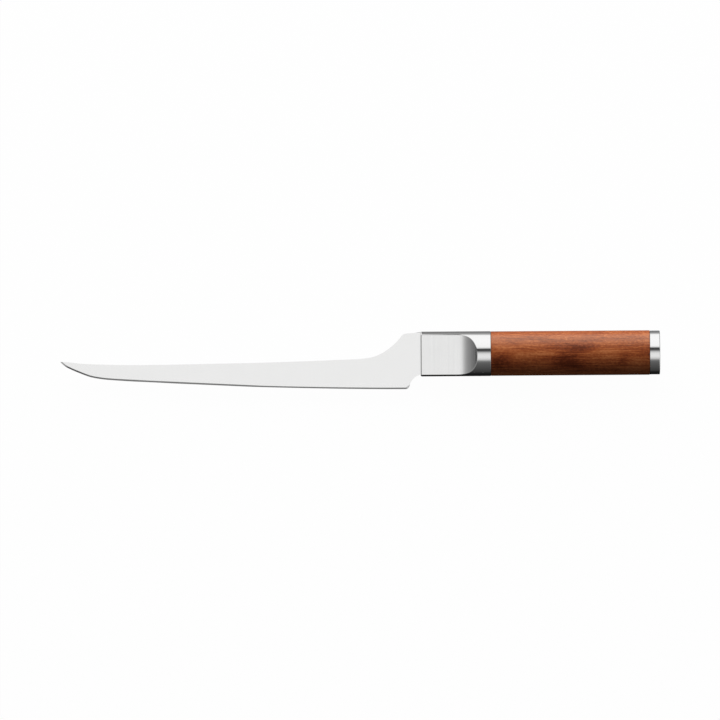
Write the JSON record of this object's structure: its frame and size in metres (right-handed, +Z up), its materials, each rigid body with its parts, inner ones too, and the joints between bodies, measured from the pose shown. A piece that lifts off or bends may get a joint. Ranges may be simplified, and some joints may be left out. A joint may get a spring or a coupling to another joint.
{
  "type": "fillet knife",
  "caption": "Slim curved fillet knife: flat-ground flexible blade, oval wooden grip, scooped steel bolster and steel butt cap.",
  "frame": {"origin": "middle of the knife's box, on the surface that the knife lies on, on its side and rolled 7.1 degrees towards the edge, as its weight rolls it", "axes": "+X along the handle from the tip to the butt, +Y across the blade from the cutting edge to the spine, level with the surface, +Z up"},
  "size_m": [0.3512, 0.0336, 0.02],
  "materials": {
    "blade_steel": "fine satin",
    "bolster_steel": "polished oval, satin scooped flats",
    "cap_steel": "polished",
    "grip_wood": "oiled and fine sanded",
    "spacer_fibre": "matte",
    "resin": "cured resin",
    "fastener_steel": "plain"
  },
  "bodies": {
    "root": {"blade": "blade_steel", "bolster": "bolster_steel", "front_spacer": "spacer_fibre", "wood_grip": "grip_wood", "tang_resin": "resin", "tang_rod": "fastener_steel", "tang_washer": "fastener_steel", "spring_washer": "fastener_steel", "tang_nut": "fastener_steel", "rear_spacer": "spacer_fibre", "end_cap": "cap_steel", "cap_dowels": "fastener_steel"}
  },
  "joints": []
}
